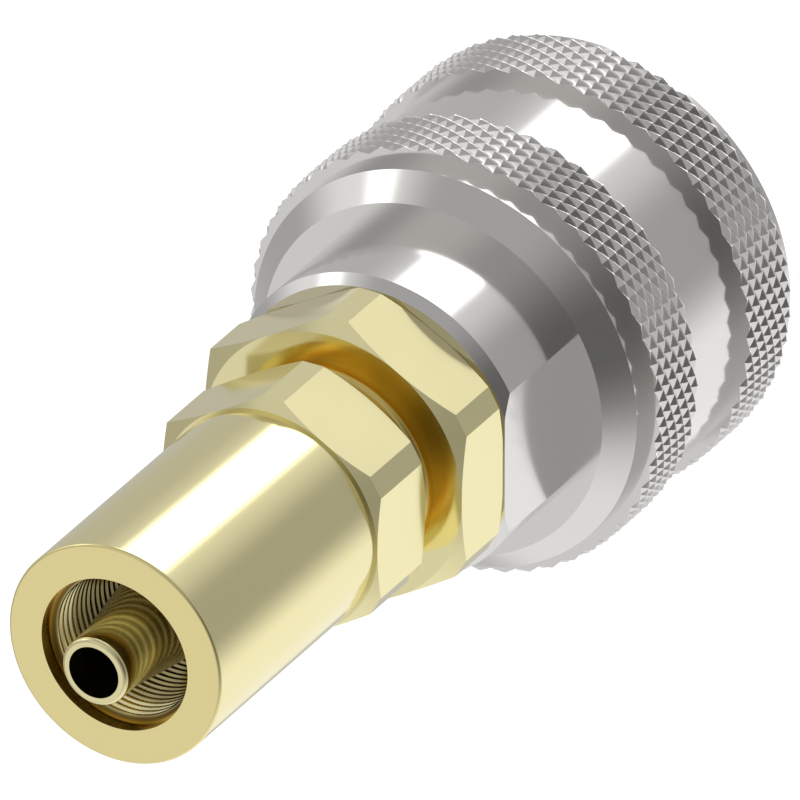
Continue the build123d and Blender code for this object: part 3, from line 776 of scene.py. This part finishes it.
def knurl_nodes():
    """Node group that repeats a tooth along Z and round Z, every other row half a pitch on."""
    tree, inputs = geometry_group("diamond_knurl", {"Rows": "NodeSocketInt", "Start": "NodeSocketFloat"})
    gather = node(tree, "GeometryNodeJoinGeometry")
    full_turn = 2 * math.pi / KNURL_TEETH
    for row in (0, 1):
        offset = node(tree, "ShaderNodeCombineXYZ")
        height = maths(tree, "ADD", inputs.outputs["Start"], row * KNURL_PITCH / 2 * MM)
        tree.links.new(height, offset.inputs[2])
        line = node(tree, "GeometryNodeMeshLine")
        line.inputs["Offset"].default_value = (0, 0, KNURL_PITCH * MM)
        tree.links.new(inputs.outputs["Rows"], line.inputs["Count"])
        tree.links.new(offset.outputs[0], line.inputs["Start Location"])
        column = node(tree, "GeometryNodeInstanceOnPoints")
        tree.links.new(line.outputs[0], column.inputs["Points"])
        tree.links.new(inputs.outputs["Geometry"], column.inputs["Instance"])
        solid = node(tree, "GeometryNodeRealizeInstances")
        tree.links.new(column.outputs[0], solid.inputs[0])
        stack = node(tree, "GeometryNodeMeshLine")
        stack.inputs["Count"].default_value = KNURL_TEETH
        stack.inputs["Offset"].default_value = (0, 0, 0)
        index = node(tree, "GeometryNodeInputIndex")
        angle = maths(tree, "MULTIPLY_ADD", index.outputs[0], full_turn, row * full_turn / 2)
        spin = node(tree, "ShaderNodeCombineXYZ")
        tree.links.new(angle, spin.inputs[2])
        turns = node(tree, "GeometryNodeInstanceOnPoints")
        tree.links.new(stack.outputs[0], turns.inputs["Points"])
        tree.links.new(solid.outputs[0], turns.inputs["Instance"])
        tree.links.new(spin.outputs[0], turns.inputs["Rotation"])
        tree.links.new(turns.outputs[0], gather.inputs[0])
    end_group(tree, gather.outputs[0], FINISHES["nickel"])
    return tree


def eased(place, share):
    """Place of a knurl's vertex with its height over the valleys cut to a share."""
    flat = Vector((place.x, place.y))
    eased_r = KNURL_VALLEY_R * MM + (flat.length - KNURL_VALLEY_R * MM) * share
    flat = flat.normalized() * eased_r
    return flat.x, flat.y, place.z


def knurl_band(tree, low_z, high_z):
    """Knurled band between two heights, with flat side faces down to the waist.

    Its rows reach past both sides, where they are cut off.
    """
    rows = int((high_z - low_z) / KNURL_PITCH) + 3
    start = high_z + KNURL_PITCH / 2 - rows * KNURL_PITCH
    mesh = applied(knurl_tooth(), tree, {"Rows": rows, "Start": start * MM})
    work = bmesh.new()
    work.from_mesh(mesh)
    for height, side in ((low_z, -1), (high_z, 1)):
        bmesh.ops.bisect_plane(
            work,
            geom=[*work.verts, *work.edges, *work.faces],
            dist=WELD_M,
            plane_co=(0, 0, height * MM),
            plane_no=(0, 0, side),
            clear_outer=True,
        )
        for vertex in work.verts:
            away = abs(vertex.co.z / MM - height) / KNURL_SIDE_EASE
            if away < 1:
                vertex.co = eased(vertex.co, KNURL_SIDE_SHARE + (1 - KNURL_SIDE_SHARE) * away)
        rim = [
            edge for edge in work.edges
            if edge.is_boundary and all(abs(vertex.co.z - height * MM) < NODE_WELD_M for vertex in edge.verts)
        ]
        extruded = bmesh.ops.extrude_edge_only(work, edges=rim)
        for vertex in (item for item in extruded["geom"] if isinstance(item, bmesh.types.BMVert)):
            flat = Vector((vertex.co.x, vertex.co.y, 0)).normalized() * SLEEVE_R * MM
            vertex.co.x = flat.x
            vertex.co.y = flat.y
    work.to_mesh(mesh)
    work.free()
    return mesh


knurl_tree = knurl_nodes()
front_band = knurl_band(knurl_tree, RIM_LENGTH, FRONT_BAND_BACK_Z)
rear_band = knurl_band(knurl_tree, REAR_BAND_Z, REAR_BAND_BACK_Z)
groove_ramp = GROOVE_R - LAND_R
sleeve_points = [
    (SPRING_ROOM_R, 0),
    (RIM_R, 0),
    (RIM_R, RIM_LENGTH),
    (SLEEVE_R, RIM_LENGTH),
    (SLEEVE_R, REAR_BAND_BACK_Z),
    (SLEEVE_END_R, REAR_BAND_BACK_Z),
    (SLEEVE_END_R, SLEEVE_LENGTH),
    (LAND_R, SLEEVE_LENGTH),
    (LAND_R, GROOVE_BACK_Z),
    (GROOVE_R, GROOVE_BACK_Z - groove_ramp / 2),
    (GROOVE_R, LAND_BACK_Z + groove_ramp),
    (LAND_R, LAND_BACK_Z),
    (LAND_R, LAND_Z),
    (SPRING_ROOM_R, LAND_Z),
]
plain_end_corners = (4, 5, 6)
sleeve_outline = softened(sleeve_points, plain_end_corners)
sleeve_mesh = ring_mesh("release_sleeve_body", sleeve_outline, angles_with())
sleeve_parts = joined(sleeve_mesh, front_band, rear_band)
finished(sleeve_parts, "release_sleeve_look", "sleeve", ["release_sleeve"], "nickel")


# All the other pieces keep the shape of their solids.
# Each is copied, welded and shaded smooth, so that balls and rings mirror the studio cleanly.
dressed = {"release_sleeve", "rear_body", "hose_nipple", "hose_socket"}
slot_of = {part["node"]: part["material_slot"] for part in frame["record"]["subparts"]}
body_of_node = {
    node_name: body_name
    for body_name, node_names in frame["record"]["behaviour"]["bodies"].items()
    for node_name in node_names
}
looks = {}
for node_name, source in frame["nodes"].items():
    if node_name in dressed:
        continue
    copy = source.data.copy()
    copy.name = node_name + "_look"
    looks[node_name] = finished(
        copy, node_name + "_look", body_of_node[node_name], [node_name], slot_of[node_name]
    )


# Springs that a joint presses get a mesh of their own.
for joint in frame["record"]["behaviour"]["joints"]:
    for entry in joint.get("deforming_nodes", []):
        spring = looks[entry["node"]]
        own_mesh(spring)


# Floor: pale, lit as white for the camera, and showing the studio to mirrors.
# Its diffuse part keeps the object's soft contact shadow, and from below it is clear.

def studio_light(tree, kind):
    """Light of the studio in the direction that a ray goes, from a shader of the given kind."""
    ray = node(tree, "ShaderNodeNewGeometry")
    flip = node(tree, "ShaderNodeVectorMath", operation="SCALE")
    flip.inputs[3].default_value = -1
    tree.links.new(ray.outputs["Incoming"], flip.inputs[0])
    studio = node(tree, "ShaderNodeGroup", node_tree=STUDIO)
    tree.links.new(flip.outputs[0], studio.inputs[0])
    light = node(tree, kind)
    tree.links.new(studio.outputs[0], light.inputs[0])
    return light


def either(tree, choice, first, second):
    """Second shader where the choice is 1, else the first."""
    mix = node(tree, "ShaderNodeMixShader")
    tree.links.new(choice, mix.inputs[0])
    tree.links.new(first.outputs[0], mix.inputs[1])
    tree.links.new(second.outputs[0], mix.inputs[2])
    return mix


floor_mesh = bpy.data.meshes.new("floor")
floor_corners = [(x * FLOOR_HALF, y * FLOOR_HALF, 0) for x, y in ((-1, -1), (1, -1), (1, 1), (-1, 1))]
floor_mesh.from_pydata(floor_corners, [], [(0, 1, 2, 3)])
floor = bpy.data.objects.new("floor", floor_mesh)
floor.location.z = -FLOOR_DROP * MM
bpy.context.scene.collection.objects.link(floor)
floor_material = bpy.data.materials.new("floor")
floor_material.use_nodes = True
floor_tree = floor_material.node_tree
floor_tree.nodes.clear()
floor_out = node(floor_tree, "ShaderNodeOutputMaterial")
floor_paint = node(floor_tree, "ShaderNodeBsdfDiffuse")
floor_paint.inputs[0].default_value = (FLOOR_PAINT, FLOOR_PAINT, FLOOR_PAINT, 1)
floor_white = node(floor_tree, "ShaderNodeEmission")
floor_white.inputs[1].default_value = FLOOR_GLOW
floor_sum = node(floor_tree, "ShaderNodeAddShader")
floor_tree.links.new(floor_paint.outputs[0], floor_sum.inputs[0])
floor_tree.links.new(floor_white.outputs[0], floor_sum.inputs[1])
floor_mirrored = studio_light(floor_tree, "ShaderNodeEmission")
camera_ray = node(floor_tree, "ShaderNodeLightPath").outputs["Is Camera Ray"]
floor_top = either(floor_tree, camera_ray, floor_mirrored, floor_sum)
from_below = node(floor_tree, "ShaderNodeNewGeometry").outputs["Backfacing"]
floor_clear = node(floor_tree, "ShaderNodeBsdfTransparent")
floor_shown = either(floor_tree, from_below, floor_top, floor_clear)
floor_tree.links.new(floor_shown.outputs[0], floor_out.inputs[0])
floor_mesh.materials.append(floor_material)


# World: the same studio for every ray except the camera's, which sees white.
world = bpy.data.worlds.new("studio")
bpy.context.scene.world = world
world.use_nodes = True
world_tree = world.node_tree
world_tree.nodes.clear()
world_out = node(world_tree, "ShaderNodeOutputWorld")
world_studio = studio_light(world_tree, "ShaderNodeBackground")
world_white = node(world_tree, "ShaderNodeBackground")
world_white.inputs[0].default_value = (1, 1, 1, 1)
world_camera_ray = node(world_tree, "ShaderNodeLightPath").outputs["Is Camera Ray"]
world_shown = either(world_tree, world_camera_ray, world_studio, world_white)
world_tree.links.new(world_shown.outputs[0], world_out.inputs[0])


# Camera
camera_data = bpy.data.cameras.new("camera")
camera_data.lens = CAMERA_LENS
camera_data.clip_start, camera_data.clip_end = CAMERA_CLIP
camera = bpy.data.objects.new("camera", camera_data)
bpy.context.scene.collection.objects.link(camera)
back = Vector(CAMERA_BACK).normalized()
right = Vector(CAMERA_RIGHT).normalized()
up = back.cross(right)
place = (Vector(CAMERA_TARGET) + back * CAMERA_DISTANCE) * MM
camera.matrix_world = Matrix((
    (right.x, up.x, back.x, place.x),
    (right.y, up.y, back.y, place.y),
    (right.z, up.z, back.z, place.z),
    (0, 0, 0, 1),
))
bpy.context.scene.camera = camera
bpy.context.scene.view_settings.view_transform = "Standard"
